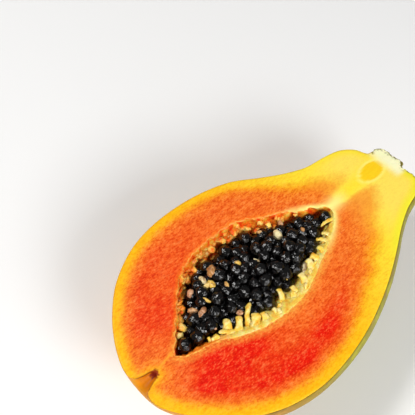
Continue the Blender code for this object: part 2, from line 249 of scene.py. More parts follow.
def skin_rule(share, v):
    angle = math.pi * v
    far = read(far_curve, share, skin_along)
    near = read(near_curve, share, skin_along)
    to_far = (1 + np.cos(angle)) / 2
    under = np.sin(angle)
    along = near[:, 0] + (far[:, 0] - near[:, 0]) * to_far
    radius = near[:, 1] + (far[:, 1] - near[:, 1]) * to_far
    radius = radius * (1 + LOBE_HEIGHT * np.sin(LOBES * angle))
    to_stalk = np.clip((along - SWELL_FROM) / (SWELL_TO - SWELL_FROM), 0, 1)
    near_swell = NEAR_SWELL + STALK_SWELL * to_stalk
    swell = near_swell - (FAR_TAPER + near_swell) * to_far
    across = radius * np.cos(angle) * (1 + swell * under)
    along = along + BELLY_SHIFT * under * (radius / WIDEST) ** 2
    return np.stack([along, across, -DEPTH_SHARE * radius * under], -1)


skin = sheet("skin", SKIN_COLUMNS, SKIN_ROWS, skin_rule)
skin_points = points_of(skin)
deepest = skin_points[:, 2].min()
flat_level = deepest + FLAT_SPOT_DEPTH
print("skin:", len(skin.data.vertices), "points, deepest", round(deepest / mm, 1), "mm")

# %% [markdown]
# The cut face is flat, and runs as a ring from the outline to the cavity. It is two sheets,
# one for each side, whose ends meet on the lines from the pit and from the stalk to the
# cavity's tips. Each point keeps its distance from the skin and from the cavity, because the
# colour of the flesh goes by these. Along the notch the yellow band is thin, so the distance
# from there counts for more.

# %% The cut face
FACE_ROWS = 30
LOBE_TIP = 4 * CURVE_STEPS  # the notch runs from the pit to this point of each outline
NOTCH_BAND = 2.6 * mm  # how much thinner the yellow band is along the notch
CROWDING = 0.35  # how much closer the rows lie at the borders than in between


def distance_to(places, curve):
    """Shortest distance in the plane of the cut from each place to a curve."""
    start, step = curve[:-1], np.diff(curve, axis=0)
    found = np.full(len(places), 1e9)
    for a, d in zip(start, step):
        t = np.clip(((places[:, :2] - a) @ d) / max(d @ d, 1e-18), 0, 1)
        found = np.minimum(found, np.hypot(*(places[:, :2] - a - t[:, None] * d).T))
    return found


def cavity_side(curve, shares):
    return read(curve, shares, share_along(curve))


def face_rule(outline, cavity, mirror):
    def rule(u, v):
        v = v if mirror > 0 else 1 - v
        rim = read(outline, u, skin_along) * (1, mirror)
        hole = cavity_side(cavity, u)
        spread = (v - CROWDING * np.sin(2 * math.pi * v) / (2 * math.pi))[:, None]
        flat = hole + (rim - hole) * spread
        return np.column_stack([flat, np.zeros(len(flat))])
    return rule


face_far = sheet("face_far", SKIN_COLUMNS, FACE_ROWS, face_rule(far_curve, cavity_far, 1))
face_near = sheet("face_near", SKIN_COLUMNS, FACE_ROWS, face_rule(near_curve, cavity_near, -1))
outline_curves = [far_curve, near_curve * (1, -1)]
for piece in (face_far, face_near):
    places = points_of(piece)
    from_outline = np.minimum(*(distance_to(places, c[LOBE_TIP:]) for c in outline_curves))
    from_notch = np.minimum(*(distance_to(places, c[:LOBE_TIP]) for c in outline_curves))
    from_skin = np.minimum(from_outline, from_notch + NOTCH_BAND)
    from_cavity = np.minimum(*(distance_to(places, c) for c in (cavity_far, cavity_near)))
    store(piece, from_skin=from_skin / mm, from_cavity=from_cavity / mm, down=0, ridge=0, across=0)
print("flesh is up to", round(from_skin.max() / mm, 1), "mm from the skin")

# %% [markdown]
# The cavity is a boat with a steep wall on its far side and a soft slope on its near side.
# Its lining has ridges that run down from the edge, where the seeds were attached.

# %% The lining of the cavity
CAVITY_DEPTH = 24.5 * mm
TIP_FULLNESS = 0.55
WALL_FULLNESS = 0.55
RIDGE_HEIGHT = 1.3 * mm
RIDGE_PITCH = 5.2 * mm
RIDGE_ROUNDNESS = 0.7
RIDGE_TOP = 0.97
NEAR_RIDGES = 0.45
LINING_ROWS = 72
FAR_AWAY = 30.0  # stands for the distance from a border that doesn't matter there


def lining_fall(across):
    far_wall = (1 - np.clip(across, 0, 1) ** 3) ** WALL_FULLNESS
    to_near = np.clip(-across, 0, 1)
    near_slope = 1 - to_near * to_near * (3 - 2 * to_near)
    return np.where(across > 0, far_wall, near_slope)


def noise_at(places, size, shift=0.0):
    """Smooth noise from -1 to 1, whose lumps are about this size."""
    return np.array([noise.noise(Vector(p) / size + Vector((shift, 0, 0))) for p in places])


def wandering(along, places):
    """Place along the fruit for the ridges, which don't run down quite straight."""
    return along + 2.2 * mm * noise_at(places, 5 * mm, 3.0)


def ridge_wave(along):
    uneven = 0.9 * np.sin(95 * along) + 0.6 * np.sin(211 * along)
    return np.abs(np.sin(math.pi * along / RIDGE_PITCH + uneven)) ** RIDGE_ROUNDNESS


def lining_place(share, across, relief=True):
    far = cavity_side(cavity_far, share)
    near = cavity_side(cavity_near, share)
    middle = (far + near) / 2
    flat = middle + (far - middle) * across[:, None]
    depth = CAVITY_DEPTH * (4 * share * (1 - share)).clip(0) ** TIP_FULLNESS
    place = np.column_stack([flat, -depth * lining_fall(across)])
    if relief:
        inward = np.column_stack([middle, -0.4 * depth]) - place
        inward /= np.linalg.norm(inward, axis=1)[:, None] + 1e-9
        fade = np.clip((1 - np.abs(across)) / (1 - RIDGE_TOP), 0, 1)
        fade = np.minimum(fade, np.clip(8 * share * (1 - share), 0, 1))
        weight = np.where(across > 0, 1.0, NEAR_RIDGES)
        wave = ridge_wave(wandering(far[:, 0], place))
        place += inward * (RIDGE_HEIGHT * weight * wave * fade)[:, None]
    return place


def lining_rule(u, v):
    return lining_place(u, np.cos(math.pi * (1 - v)))


lining = sheet("lining", SKIN_COLUMNS, LINING_ROWS, lining_rule)
places = points_of(lining)
shares = np.tile(np.linspace(0, 1, SKIN_COLUMNS + 1), LINING_ROWS + 1)
turns = np.repeat(np.linspace(0, 1, LINING_ROWS + 1), SKIN_COLUMNS + 1)
across = np.cos(math.pi * (1 - turns))
ridges_along = cavity_side(cavity_far, shares)[:, 0]
wave = ridge_wave(wandering(ridges_along, lining_place(shares, across, relief=False)))
store(lining, from_skin=FAR_AWAY, from_cavity=0, down=-places[:, 2] / mm, ridge=wave, across=across)
print("cavity:", round(-places[:, 2].min() / mm, 1), "mm deep")

# %% [markdown]
# Now the four sheets become one body. Each keeps its own material slot, so that skin, flesh
# and lining can be finished apart, and the points along the shared borders are merged.

# %% One closed body
SKIN, FLESH, LINING = 0, 1, 2
FINISHES = {"skin": SKIN, "face_far": FLESH, "face_near": FLESH, "lining": LINING}
names = ("papaya skin", "papaya flesh", "cavity lining")
finishes = [bpy.data.materials.new(name) for name in names]
store(skin, from_skin=0, from_cavity=FAR_AWAY, down=-skin_points[:, 2] / mm, ridge=0, across=0)
for piece in (skin, face_far, face_near, lining):
    for material in finishes:
        piece.data.materials.append(material)
    slots = np.full(len(piece.data.polygons), FINISHES[piece.name], np.int32)
    piece.data.polygons.foreach_set("material_index", slots)

body = merge([skin, face_far, face_near, lining], "fruit_body")
weld(body)
edge_keys = [key for face in body.data.polygons for key in face.edge_keys]
uses = np.unique(edge_keys, axis=0, return_counts=True)[1]
print("fruit body:", len(body.data.polygons), "faces,", (uses != 2).sum(), "open edges")

# %% [markdown]
# A ripe fruit is nowhere quite smooth. The skin is pored and a little uneven, the cut flesh
# has a fine grain and soft rims where the knife left it, and the lining is spongy. These are
# small moves of the points along their normals, by smooth noise that is the same every time.
# The stub of the stalk is torn, so it gets the roughest moves of all.

# %% Relief
def read_back(piece, name):
    values = np.empty(len(piece.data.vertices), np.float32)
    piece.data.attributes[name].data.foreach_get("value", values)
    return values.astype(float)


STUB_START = 145.5 * mm
NEARLY_NONE = 0.001
places = points_of(body)
normals = points_of(body, "normal")
measures = ("from_skin", "from_cavity", "down", "across")
from_skin, from_cavity, down, across = (read_back(body, name) for name in measures)
on_face = down < NEARLY_NONE
on_lining = (from_cavity < NEARLY_NONE) & ~on_face
on_skin = (from_skin < NEARLY_NONE) & ~on_face
in_stub = smoothstep(STUB_START, STUB_START + 3 * mm, places[:, 0])

# all of it in millimetres, until the points are moved
pored = 0.25 * noise_at(places, 22 * mm) + 0.05 * noise_at(places, 1.6 * mm)
fibrous = 0.05 * noise_at(places * (0.35, 1, 1), 0.9 * mm) + 0.10 * noise_at(places, 9 * mm, 5.0)
spongy = 0.38 * noise_at(places, 2.6 * mm) + 0.20 * noise_at(places, 1.1 * mm)
spongy += smoothstep(0.2, 0.7, across) * (0.9 * noise_at(places, 3.6 * mm, 2.0) + 0.1)
spongy += smoothstep(-0.3, -0.7, across) * 0.8 * noise_at(places * (1, 0.6, 1), 2.0 * mm, 7.0)
torn = 0.9 * noise_at(places, 2.4 * mm, 9.0) + 0.5 * noise_at(places, 1.0 * mm)
moves = on_skin * pored
moves += on_face * smoothstep(0, 1.5, np.minimum(from_skin, from_cavity)) * fibrous
moves += on_lining * smoothstep(0, 1.6, down) * spongy
moves += in_stub * torn * (0.2 + 0.8 * ~on_face)
places += normals * moves[:, None] * mm

# the cavity's edge wanders, most of all on the far side, and both edges of the cut are soft
near_edge = np.where(on_lining, np.exp(-down / 2.5), np.exp(-from_cavity / 1.6)) * ~on_skin
wander = (0.5 + 1.1 * smoothstep(0, 10 * mm, places[:, 1])) * near_edge * mm
flat_places = places * (1, 1, 0)
sway = noise_at(flat_places, 3.2 * mm, 17.0) + 0.4 * noise_at(flat_places, 1.4 * mm, 5.0)
places[:, 0] += wander * noise_at(flat_places, 3.2 * mm, 11.0)
places[:, 1] += wander * sway
rim_drop = 0.25 * np.clip(1 - from_skin / 0.7, 0, 1) ** 2
edge_drop = 0.55 * np.clip(1 - from_cavity / 1.4, 0, 1) ** 2
places[:, 2] -= np.where(on_face, rim_drop + edge_drop, 0) * mm
places[:, 2] = np.maximum(places[:, 2], flat_level)
print("moved up to", round(np.abs(moves).max(), 2), "mm")

# %% [markdown]
# So far everything lies around the pit at the height of the cut. The frame says where the
# fruit belongs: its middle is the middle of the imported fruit's box, and it rests on the
# surface.

# %% To its place in the frame
outline_x = np.concatenate([far_curve[:, 0], near_curve[:, 0]])
skin_y = skin_points[:, 1]
shift = Vector((
    (fruit_low.x + fruit_high.x) / 2 - (outline_x.min() + outline_x.max()) / 2,
    (fruit_low.y + fruit_high.y) / 2 - (skin_y.min() + skin_y.max()) / 2,
    fruit_low.z - flat_level,
))
move_points(body, places + np.array(shift))
smooth(body)
print("moved by", [round(v / mm, 2) for v in shift], "mm")

# %% [markdown]
# The flesh changes colour with its place in the fruit: yellow under the skin, then orange,
# then red. Towards the stalk the yellow band widens until the two orange tongues on either
# side of the middle have faded into a yellow neck. A pale strand leaves the cavity's tip and
# ends at an oval. Such large patterns are numbers kept on the points, which the material then
# turns into colours. "rim" is the distance from the skin, stretched so that the same number
# has the same colour everywhere.

# %% Where the flesh is which colour
# places and distances in millimetres from the pit, as in the outlines
TONGUES_FADE_FROM, TONGUES_FADE_OVER = 110, 50
OVAL_X, OVAL_Y, OVAL_LENGTH, OVAL_WIDTH = 139.5, 1.5, 7.0, 4.3
PIT_X, PIT_Y = 0.9, 0.3
VEIN_SLOPE = 0.16


def bell(value, middle, width):
    """1 at the middle, falling softly to 0 on both sides."""
    return np.exp(-(((value - middle) / width) ** 2))


x, y = ((points_of(body)[:, k] - shift[k]) / mm for k in (0, 1))
near_side = smoothstep(3, -3, y)
band_far = 1 + 1.6 * smoothstep(80, 122, x)
band_near = 1.1 + 1.6 * smoothstep(62, 122, x)
band = band_far + (band_near - band_far) * near_side
tongues_end = np.clip((x - TONGUES_FADE_FROM) / TONGUES_FADE_OVER, 0, 1)
midline = bell(y, 2, 4.5) * smoothstep(108, 119, x)
belt = 1 - 0.75 * smoothstep(14, 23, from_skin) * smoothstep(34, 64, x)
redness_near = smoothstep(112, 58, x) * belt
redness_far = 0.70 * smoothstep(102, 5, x)
redness = redness_far + (redness_near - redness_far) * near_side
from_pit = np.hypot(x, y)
store(
    body,
    rim=from_skin / band * (1 - tongues_end) * (1 - 0.85 * midline),
    redness=redness * smoothstep(4, 24, from_pit),
    neck=smoothstep(60, 130, x),
    pale_neck=smoothstep(112, 134, x) * (1 - midline) * smoothstep(0.5, 5, from_skin),
    green_edge=smoothstep(104, 120, x) * smoothstep(-4, -12, y) * smoothstep(5.0, 0.5, from_skin),
)

# the pale strand forks round the cavity's tip, and ends at the oval
stem = bell(y, 2.0, 3.2) * smoothstep(105, 110, x) * smoothstep(124, 114, x)
arms = bell(from_cavity, 0, 1.5) * smoothstep(88, 106, x)
ring = np.hypot((x - OVAL_X) / OVAL_LENGTH, (y - OVAL_Y) / OVAL_WIDTH)
store(
    body,
    pale_strand=np.maximum(stem, arms),
    oval=smoothstep(1.0, 0.86, ring),
    oval_ring=smoothstep(0.84, 1.0, ring) * smoothstep(1.32, 1.10, ring),
    stub=smoothstep(143.8, 149.0, x) * smoothstep(-10.5, -7.5, y),
)

# the pit, painted shade in the notch and along its crease, and the vein that runs from them to
# the cavity
pit_edge = np.hypot(x - PIT_X, y - PIT_Y) + noise_at(places, 0.9 * mm)
from_notch = np.minimum(*(distance_to(places, c[:LOBE_TIP]) for c in outline_curves)) / mm
crease = bell(from_notch, 0, 0.40) * smoothstep(-0.9, -0.3, places[:, 2] / mm)
vein = bell(y - VEIN_SLOPE * (x - 2), 0.4, 0.45)
store(
    body,
    pit=smoothstep(2.4, 1.3, pit_edge),
    crease=crease * smoothstep(-6.8, -5.0, x),
    # painted shade in the notch round the pit
    in_notch=smoothstep(11, 3, from_pit),
    vein=vein * smoothstep(1.5, 3.0, x) * smoothstep(13, 11, x),
)
print("yellow band up to", round(band.max(), 2), "times its least width")

# %% [markdown]
# Materials are trees of nodes. A few small helpers keep them readable: one adds a node and
# sets its inputs, another turns a colour as a screen shows it into the linear one that
# Blender works in, and the last one connects what every finish has. All of them work in the
# tree that was opened last.

# %% Material helpers
def open_tree(opened):
    global tree
    tree = opened


def fresh(material):
    """Opens the material's tree, and gives its shader and the place on the object."""
    material.use_nodes = True
    open_tree(material.node_tree)
    where = tree.nodes.new("ShaderNodeTexCoord").outputs["Object"]
    return tree.nodes["Principled BSDF"], where


def new_finish(piece, name):
    """Gives the piece a new material, and opens it."""
    material = bpy.data.materials.new(name)
    piece.data.materials.append(material)
    return fresh(material)


def screen(red, green, blue):
    """A colour given as on a screen, 0 to 255, as Blender's linear colour."""
    parts = (value / 255 for value in (red, green, blue))
    return (*(p / 12.92 if p <= 0.04045 else ((p + 0.055) / 1.055) ** 2.4 for p in parts), 1.0)


def feed(socket, value):
    """Links the value where it is a socket itself, or else sets it."""
    if isinstance(value, bpy.types.NodeSocket):
        tree.links.new(value, socket)
    else:
        socket.default_value = value


def add(kind, settings=None, **inputs):
    """Adds a node. Its inputs are named, or numbered as i0, i1 and so on."""
    made = tree.nodes.new(kind)
    for name, value in (settings or {}).items():
        setattr(made, name, value)
    for name, value in inputs.items():
        numbered = name[0] == "i" and name[1:].isdigit()
        feed(made.inputs[int(name[1:]) if numbered else name], value)
    return made


def times(one, other):
    return add("ShaderNodeMath", {"operation": "MULTIPLY"}, i0=one, i1=other).outputs[0]


def plus(one, other, factor=1.0):
    """One value, and the other one as often as the factor says."""
    kind = {"operation": "MULTIPLY_ADD"}
    return add("ShaderNodeMath", kind, i0=other, i1=factor, i2=one).outputs[0]


def scaled(value, low, high, to_low=0.0, to_high=1.0):
    """The value's way from low to high, laid out between two other numbers."""
    return add("ShaderNodeMapRange", i0=value, i1=low, i2=high, i3=to_low, i4=to_high).outputs[0]


def kept(name, most=1.0):
    """A number kept on the points, where need be as a share of itself."""
    value = add("ShaderNodeAttribute", {"attribute_name": name}).outputs["Fac"]
    return value if most == 1.0 else scaled(value, 0.0, 1.0, 0.0, most)


def mixed(factor, one, other, blend="MIX"):
    """One colour passing into another by the factor."""
    kind = {"data_type": "RGBA", "blend_type": blend}
    return add("ShaderNodeMix", kind, i0=factor, i6=one, i7=other).outputs[2]


def ramp(value, *stops):
    """Colours laid along a value."""
    made = add("ShaderNodeValToRGB", i0=value)
    elements = made.color_ramp.elements
    while len(elements) < len(stops):
        elements.new(0.5)
    for element, (position, *colour) in zip(elements, stops):
        element.position = position
        element.color = screen(*colour)
    return made.outputs["Color"]


def noise_of(where, scale, detail, roughness):
    made = add("ShaderNodeTexNoise", Vector=where, Scale=scale, Detail=detail, Roughness=roughness)
    return made.outputs["Fac"]


def lumps_of(where, size, detail=3.0, roughness=0.55):
    """Noise whose lumps are about this size."""
    return noise_of(where, 1 / size, detail, roughness)


def turned(where, angle, scale):
    """The place turned about the upright, and stretched."""
    return add("ShaderNodeMapping", Vector=where, Rotation=(0, 0, angle), Scale=scale).outputs[0]


def cells_of(where, size):
    """Distance from the middles of round cells of about this size."""
    return add("ShaderNodeTexVoronoi", Vector=where, Scale=1 / size).outputs["Distance"]


def place_of(where):
    return add("ShaderNodeSeparateXYZ", Vector=where).outputs


def over(colour, *patterns):
    """Lays patterns kept on the points over the colour: their names, shares and colours."""
    for name, most, other in patterns:
        colour = mixed(kept(name, most), colour, other)
    return colour


def finish(shader, colour, rough, bump, gloss, glow=None):
    """Connects the colour, the roughness, the bump as strength, distance and height, the
    gloss, and the light that passes under the surface as its weight, colour and scale."""
    strength, distance, height = bump
    relief = add("ShaderNodeBump", Strength=strength, Distance=distance, Height=height)
    feed(shader.inputs["Base Color"], colour)
    feed(shader.inputs["Roughness"], rough)
    feed(shader.inputs["Normal"], relief.outputs[0])
    shader.inputs["Specular IOR Level"].default_value = gloss
    if glow:
        for name, value in zip(("Weight", "Radius", "Scale"), glow):
            shader.inputs["Subsurface " + name].default_value = value


# %% [markdown]
# Flesh, lining and strands all have the same fine grain: short fibres that lie along the
# fruit, and specks between them. It is built once, as a group, and each material gives it its
# own size.

# %% The grain of the flesh, as a group
group = bpy.data.node_groups.new("flesh grain", "ShaderNodeTree")
open_tree(group)
for name, kind in (("Vector", "NodeSocketVector"), ("Size", "NodeSocketFloat")):
    group.interface.new_socket(name=name, in_out="INPUT", socket_type=kind)
for name in ("Fibres", "Specks", "Relief"):
    group.interface.new_socket(name=name, in_out="OUTPUT", socket_type="NodeSocketFloat")
where, size = group.nodes.new("NodeGroupInput").outputs[:2]
end = group.nodes.new("NodeGroupOutput")
finer = add("ShaderNodeMath", {"operation": "DIVIDE"}, i0=1.0, i1=size).outputs[0]
along = turned(where, 0.22, (0.28, 1, 1))
fibres = noise_of(along, finer, 3.0, 0.6)
specks = noise_of(where, finer, 4.0, 0.7)
for name, value in (("Fibres", fibres), ("Specks", specks), ("Relief", times(fibres, specks))):
    feed(end.inputs[name], value)


def grained(where, size):
    return add("ShaderNodeGroup", {"node_tree": group}, Vector=where, Size=size).outputs


# %% [markdown]
# The flesh. Its colours follow the distance from the skin, loosened by noise so that no band
# is even. Cut flesh is mottled: each of its fine cells shows a darker wall or a lighter, wet
# spot, so flecks of both lie over the broad colours, and the roughness follows them too.

# %% Flesh
FLESH_RED = screen(237, 30, 4)
FLESH_ORANGE = screen(247, 124, 40)
BAND_ORANGE = screen(250, 140, 38)
RIM_ORANGE = screen(251, 174, 28)
RIM_YELLOW = screen(252, 190, 18)
RIM_GREEN = screen(238, 236, 50)
NECK_YELLOW = screen(255, 228, 58)
NECK_PALE = screen(254, 226, 92)
NECK_ORANGE = screen(249, 170, 62)
EDGE_NEAR = screen(252, 186, 74)
EDGE_FAR = screen(250, 140, 38)
BRINK = screen(255, 214, 110)
PALE_STRAND = screen(255, 240, 140)
OVAL_RING = screen(255, 240, 124)
OVAL_COLOURS = screen(250, 196, 20), screen(253, 216, 40)
STUB_COLOURS = screen(255, 253, 222), screen(244, 242, 168)
STUB_RIM = screen(104, 92, 20)
VEIN = screen(252, 176, 46)
CREASE_SHADE = screen(150, 66, 12)
PIT_COLOURS = screen(104, 22, 6), screen(176, 66, 20)
FAR_SIDE_START, FAR_SIDE_FULL = 2 * mm, 10 * mm  # across the fruit, from the frame's middle


def flecked(colour, where, size, amount):
    """Darker and lighter flecks over a colour."""
    cells = lumps_of(turned(where, 0.5, (0.55, 1.15, 1.0)), size, 2.0, 0.7)
    darker = mixed(1.0, colour, (0.80, 0.34, 0.20, 1.0), "MULTIPLY")
    lighter = mixed(0.3, colour, screen(255, 190, 110))
    colour = mixed(scaled(cells, 0.52, 0.34, 0.0, amount), colour, darker)
    return mixed(scaled(cells, 0.54, 0.72, 0.0, amount), colour, lighter)


shader, where = fresh(finishes[FLESH])
grain = grained(where, 1.1 * mm)
broad = lumps_of(where, 12 * mm, 4.0)

# from the yellow rim over orange to red
loosened = plus(kept("rim"), broad, 3.0)
loosened = plus(loosened, grain["Specks"], 1.6)
yellow = mixed(kept("neck"), RIM_YELLOW, NECK_YELLOW)
yellow = mixed(kept("pale_neck"), yellow, NECK_PALE)
softer = scaled(kept("neck"), 0.80, 1.0, 0.0, 0.75)
rim = mixed(softer, RIM_ORANGE, NECK_ORANGE)
band = mixed(softer, BAND_ORANGE, NECK_ORANGE)
colour = yellow
for low, high, other in ((4.6, 6.4, rim), (6.0, 8.2, band), (8.0, 12.0, FLESH_ORANGE)):
    colour = mixed(scaled(loosened, low, high), colour, other)
patches = scaled(broad, 0.38, 0.62, 0.85, 1.15)
red = times(kept("redness"), patches)
red = times(red, scaled(loosened, 7.0, 13.0))
colour = mixed(red, colour, FLESH_RED)

# flecks, fewer of them in the rim and the neck
inside = scaled(loosened, 4.0, 9.0, 0.35, 1.0)
inside = times(inside, scaled(kept("neck"), 0.75, 1.0, 1.0, 0.30))
mottled = flecked(flecked(colour, where, 0.75 * mm, 0.9), where, 2.2 * mm, 0.5)
colour = mixed(inside, colour, mottled)

# the paler edge of the cavity
y = place_of(where)["Y"]
on_far_side = scaled(y, FAR_SIDE_START, FAR_SIDE_FULL)
patchy = scaled(grain["Specks"], 0.42, 0.58, 0.25, 0.85)
reach = scaled(y, FAR_SIDE_START, FAR_SIDE_FULL, 4.4, 2.0)
edge = times(scaled(kept("from_cavity"), reach, 0.2), patchy)
colour = mixed(edge, colour, mixed(on_far_side, EDGE_NEAR, EDGE_FAR))
brink = scaled(kept("from_cavity"), 0.75, 0.15, 0.0, 0.6)
colour = mixed(times(brink, patchy), colour, BRINK)

# what lies in the neck, the torn end of the stub, and what lies round the pit
torn = scaled(lumps_of(where, 1.6 * mm), 0.46, 0.58)
torn = times(torn, scaled(kept("from_skin"), 1.9, 0.5))
colour = over(
    colour,
    ("green_edge", 0.6, RIM_GREEN),
    ("pale_strand", 1.0, PALE_STRAND),
    ("oval_ring", 0.7, OVAL_RING),
    ("oval", 1.0, mixed(grain["Fibres"], *OVAL_COLOURS)),
    ("stub", 1.0, mixed(torn, mixed(broad, *STUB_COLOURS), STUB_RIM)),
    ("vein", 0.7, VEIN),
    # painted shade along the crease of the notch
    ("crease", 0.75, CREASE_SHADE),
    ("pit", 1.0, mixed(grain["Specks"], *PIT_COLOURS)),
)

wet = scaled(grain["Specks"], 0.35, 0.65, 0.28, 0.55)
bump = (0.45, 0.3 * mm, grain["Relief"])
finish(shader, colour, wet, bump, 0.12, (0.08, (1.0, 0.35, 0.1), 1.2 * mm))

# %% [markdown]
# The lining. On the far wall the ridges are yellow, and the furrows between them show the red
# flesh. The near slope is pale and spongy. Lower down, where the far wall lies in shade, painted
# shade makes it more orange, and deeper still everything gets a painted shade of darker red.

# %% Lining
shader, where = fresh(finishes[LINING])
grain = grained(where, 0.9 * mm)
broad = lumps_of(where, 4 * mm)
fine = lumps_of(where, 1.5 * mm)
ridge = plus(plus(kept("ridge"), broad, 2.2), fine, 1.4)
far_wall = ramp(
    scaled(ridge, 1.85, 3.55),
    (0.0, 246, 68, 14), (0.30, 255, 120, 26), (0.60, 255, 180, 58), (1.0, 255, 228, 120),
)
slope = ramp(
    scaled(broad, 0.30, 0.66),
    (0.0, 254, 186, 66), (0.45, 255, 222, 98), (1.0, 255, 242, 156),
)
slope = mixed(scaled(fine, 0.46, 0.34, 0.0, 0.5), slope, screen(244, 164, 44))
at_tip = scaled(place_of(where)["X"], -36 * mm, -46 * mm)
slope = mixed(at_tip, slope, screen(250, 132, 36))
side = scaled(kept("across"), -0.20, 0.20)
colour = mixed(side, slope, far_wall)
# painted shade: the far wall is made more orange lower down, where it lies in shade
shaded = times(scaled(kept("down"), 2.5, 7.0, 0.0, 0.80), side)
colour = mixed(shaded, colour, screen(255, 118, 28))
# painted shade: darker red deep in the cavity
deep_shade = scaled(kept("down"), 9.0, 16.0, 0.0, 0.85)
colour = mixed(deep_shade, colour, screen(200, 60, 14))
specks = scaled(grain["Specks"], 0.33, 0.60, 0.24, 0.0)
colour = mixed(specks, colour, screen(232, 112, 22))
wet = scaled(grain["Specks"], 0.35, 0.65, 0.22, 0.5)
bump = (0.5, 0.3 * mm, grain["Relief"])
finish(shader, colour, wet, bump, 0.20, (0.45, (1.0, 0.5, 0.15), 3.0 * mm))

# %% [markdown]
# The skin. It ripens from green through yellow to orange, unevenly: the near flank is still
# olive green. Painted shade makes it browner towards the blossom end and darkest along the cut.
# Small dark freckles stand in clusters on it.

# %% Skin
UNRIPE_START, UNRIPE_FULL = -85 * mm, -50 * mm  # along the fruit, from the frame's middle
BROWN_END, GREEN_START = -55 * mm, -10 * mm
NEAR_FLANK_START, NEAR_FLANK_FULL = 2 * mm, -18 * mm  # across it
BY_CUT_START, BY_CUT_FULL = 46.2 * mm, 48.8 * mm  # above the surface it rests on
UNRIPE_COLOURS = screen(90, 104, 2), screen(170, 162, 14)
shader, where = fresh(finishes[SKIN])
broad = lumps_of(where, 30 * mm)
middle = lumps_of(where, 6 * mm, 4.0)
x, y, z = place_of(where)
colour = ramp(
    scaled(broad, 0.30, 0.70),
    (0.0, 226, 118, 8), (0.5, 240, 166, 12), (1.0, 248, 196, 24),
)
unripe = scaled(x, UNRIPE_START, UNRIPE_FULL)
unripe = times(unripe, scaled(y, NEAR_FLANK_START, NEAR_FLANK_FULL))
unripe = times(unripe, scaled(middle, 0.30, 0.55, 0.70, 1.0))
green = mixed(scaled(middle, 0.38, 0.62), *UNRIPE_COLOURS)
# painted shade: browner towards the blossom end
green = mixed(scaled(x, BROWN_END, GREEN_START), screen(160, 104, 2), green)
# painted shade: darkest along the cut
cut_shade = scaled(z, BY_CUT_START, BY_CUT_FULL, 0.0, 0.7)
green = mixed(cut_shade, green, screen(104, 96, 0))
colour = mixed(unripe, colour, green)
colour = over(
    colour,
    # painted shade: darker brown-orange skin in the notch, and darker still along its crease
    ("in_notch", 0.75, screen(214, 112, 10)),
    ("crease", 1.0, screen(130, 54, 10)),
    ("pit", 1.0, screen(126, 30, 8)),
)
dots = scaled(cells_of(where, 2.3 * mm), 0.26, 0.14)
clusters = scaled(lumps_of(where, 11 * mm, 2.0), 0.55, 0.64)
colour = mixed(times(dots, clusters), colour, screen(92, 84, 22))
colour = mixed(kept("stub"), colour, screen(150, 140, 78))
height = plus(cells_of(where, 1.1 * mm), middle, 2.0)
waxy = scaled(middle, 0.3, 0.7, 0.36, 0.5)
finish(shader, colour, waxy, (0.25, 0.15 * mm, height), 0.14)
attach(body, "root")
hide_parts("papaya_half")

# %% [markdown]
# Strands stand out of the lining where seeds broke off. A strand is a limp, flat flap that
# tapers towards a torn tip. The solids have two dozen of them, and each fine one lies where a
# solid one does, so the list is the same, in millimetres. A flap is again a sheet: one
# direction runs along it, the other once round it.

# %% Strands where the solids have them
STRANDS = [
    # rooted along and across; tip from there along, across and up; bow; width
    (38.2, -0.83, -6.2, 4.9, 1, 0, 2),
    (35, -0.80, 4.2, 5.4, 0.9, 0, 3.6),
    (39.2, -0.84, 4.2, 5, 0.6, 0, 3),
    (45.2, -0.80, 6.8, 7.6, 0.6, -2.2, 2.3),
    (46.4, -0.87, 3, 4.2, 0.2, 0, 4),
    (51, -0.87, 0.6, 3.6, -0.6, 0, 3),
    (62.2, -0.80, 2.6, 6, 0.9, 0, 2.2),
    (69, -0.84, 0.8, 3.6, 0, 0, 2.6),
    (75.5, -0.88, 1.2, 4.6, 0, 0, 3.2),
    (82.5, -0.87, 1.4, 4.6, 0.3, 0, 3.4),
    (88, -0.87, -1.4, 3.4, 0.2, 0, 3.2),
    (92.4, -0.89, -1, 2.6, 0, 0, 2.4),
    (97.6, -0.90, -3.4, 4, -0.4, 0, 1.7),
    (100.2, -0.88, -2.2, 2.8, -0.2, 0, 1.5),
    (107.6, -0.90, -6.8, 1.4, -1.4, 0.6, 1.5),
    (19, 0.970, 2.2, -2, 0.8, 0, 2.5),
    (22.8, 0.970, 1.2, -4.8, 1.2, 0, 3.2),
    (29, 0.975, 1, -3.4, 0.8, 0, 2.6),
    (41.1, 0.980, -0.6, -4.8, -1, 0, 2.8),
    (45, 0.980, 1, -4.5, -0.5, 0.8, 2.6),
    (58.3, 0.985, 1, -3.8, -1, 0, 3),
    (64.2, 0.985, 2, -3.6, -1, 0, 2.8),
    (72.3, 0.985, -0.8, -3.4, -0.6, 0, 2.7),
    (78.8, 0.980, -0.9, -2.8, 0.4, 0, 2.3),
    (86.6, 0.980, -1.2, -3.6, -0.2, 0, 2.3),
]
STRAND_STATIONS = 200
STRAND_ROOT = 1.3 * mm
STRAND_SINK = 1.2 * mm
STRAND_ARCH = 0.5 * mm
STRAND_THICKNESS = 0.44  # of its width


def strand_foot(along, across):
    """The point of the lining at this place along the fruit and across the cavity."""
    shares = np.linspace(0, 1, STRAND_STATIONS + 1)
    feet = lining_place(shares, np.full(len(shares), across), relief=False)
    return Vector(feet[np.abs(feet[:, 0] - along).argmin()])


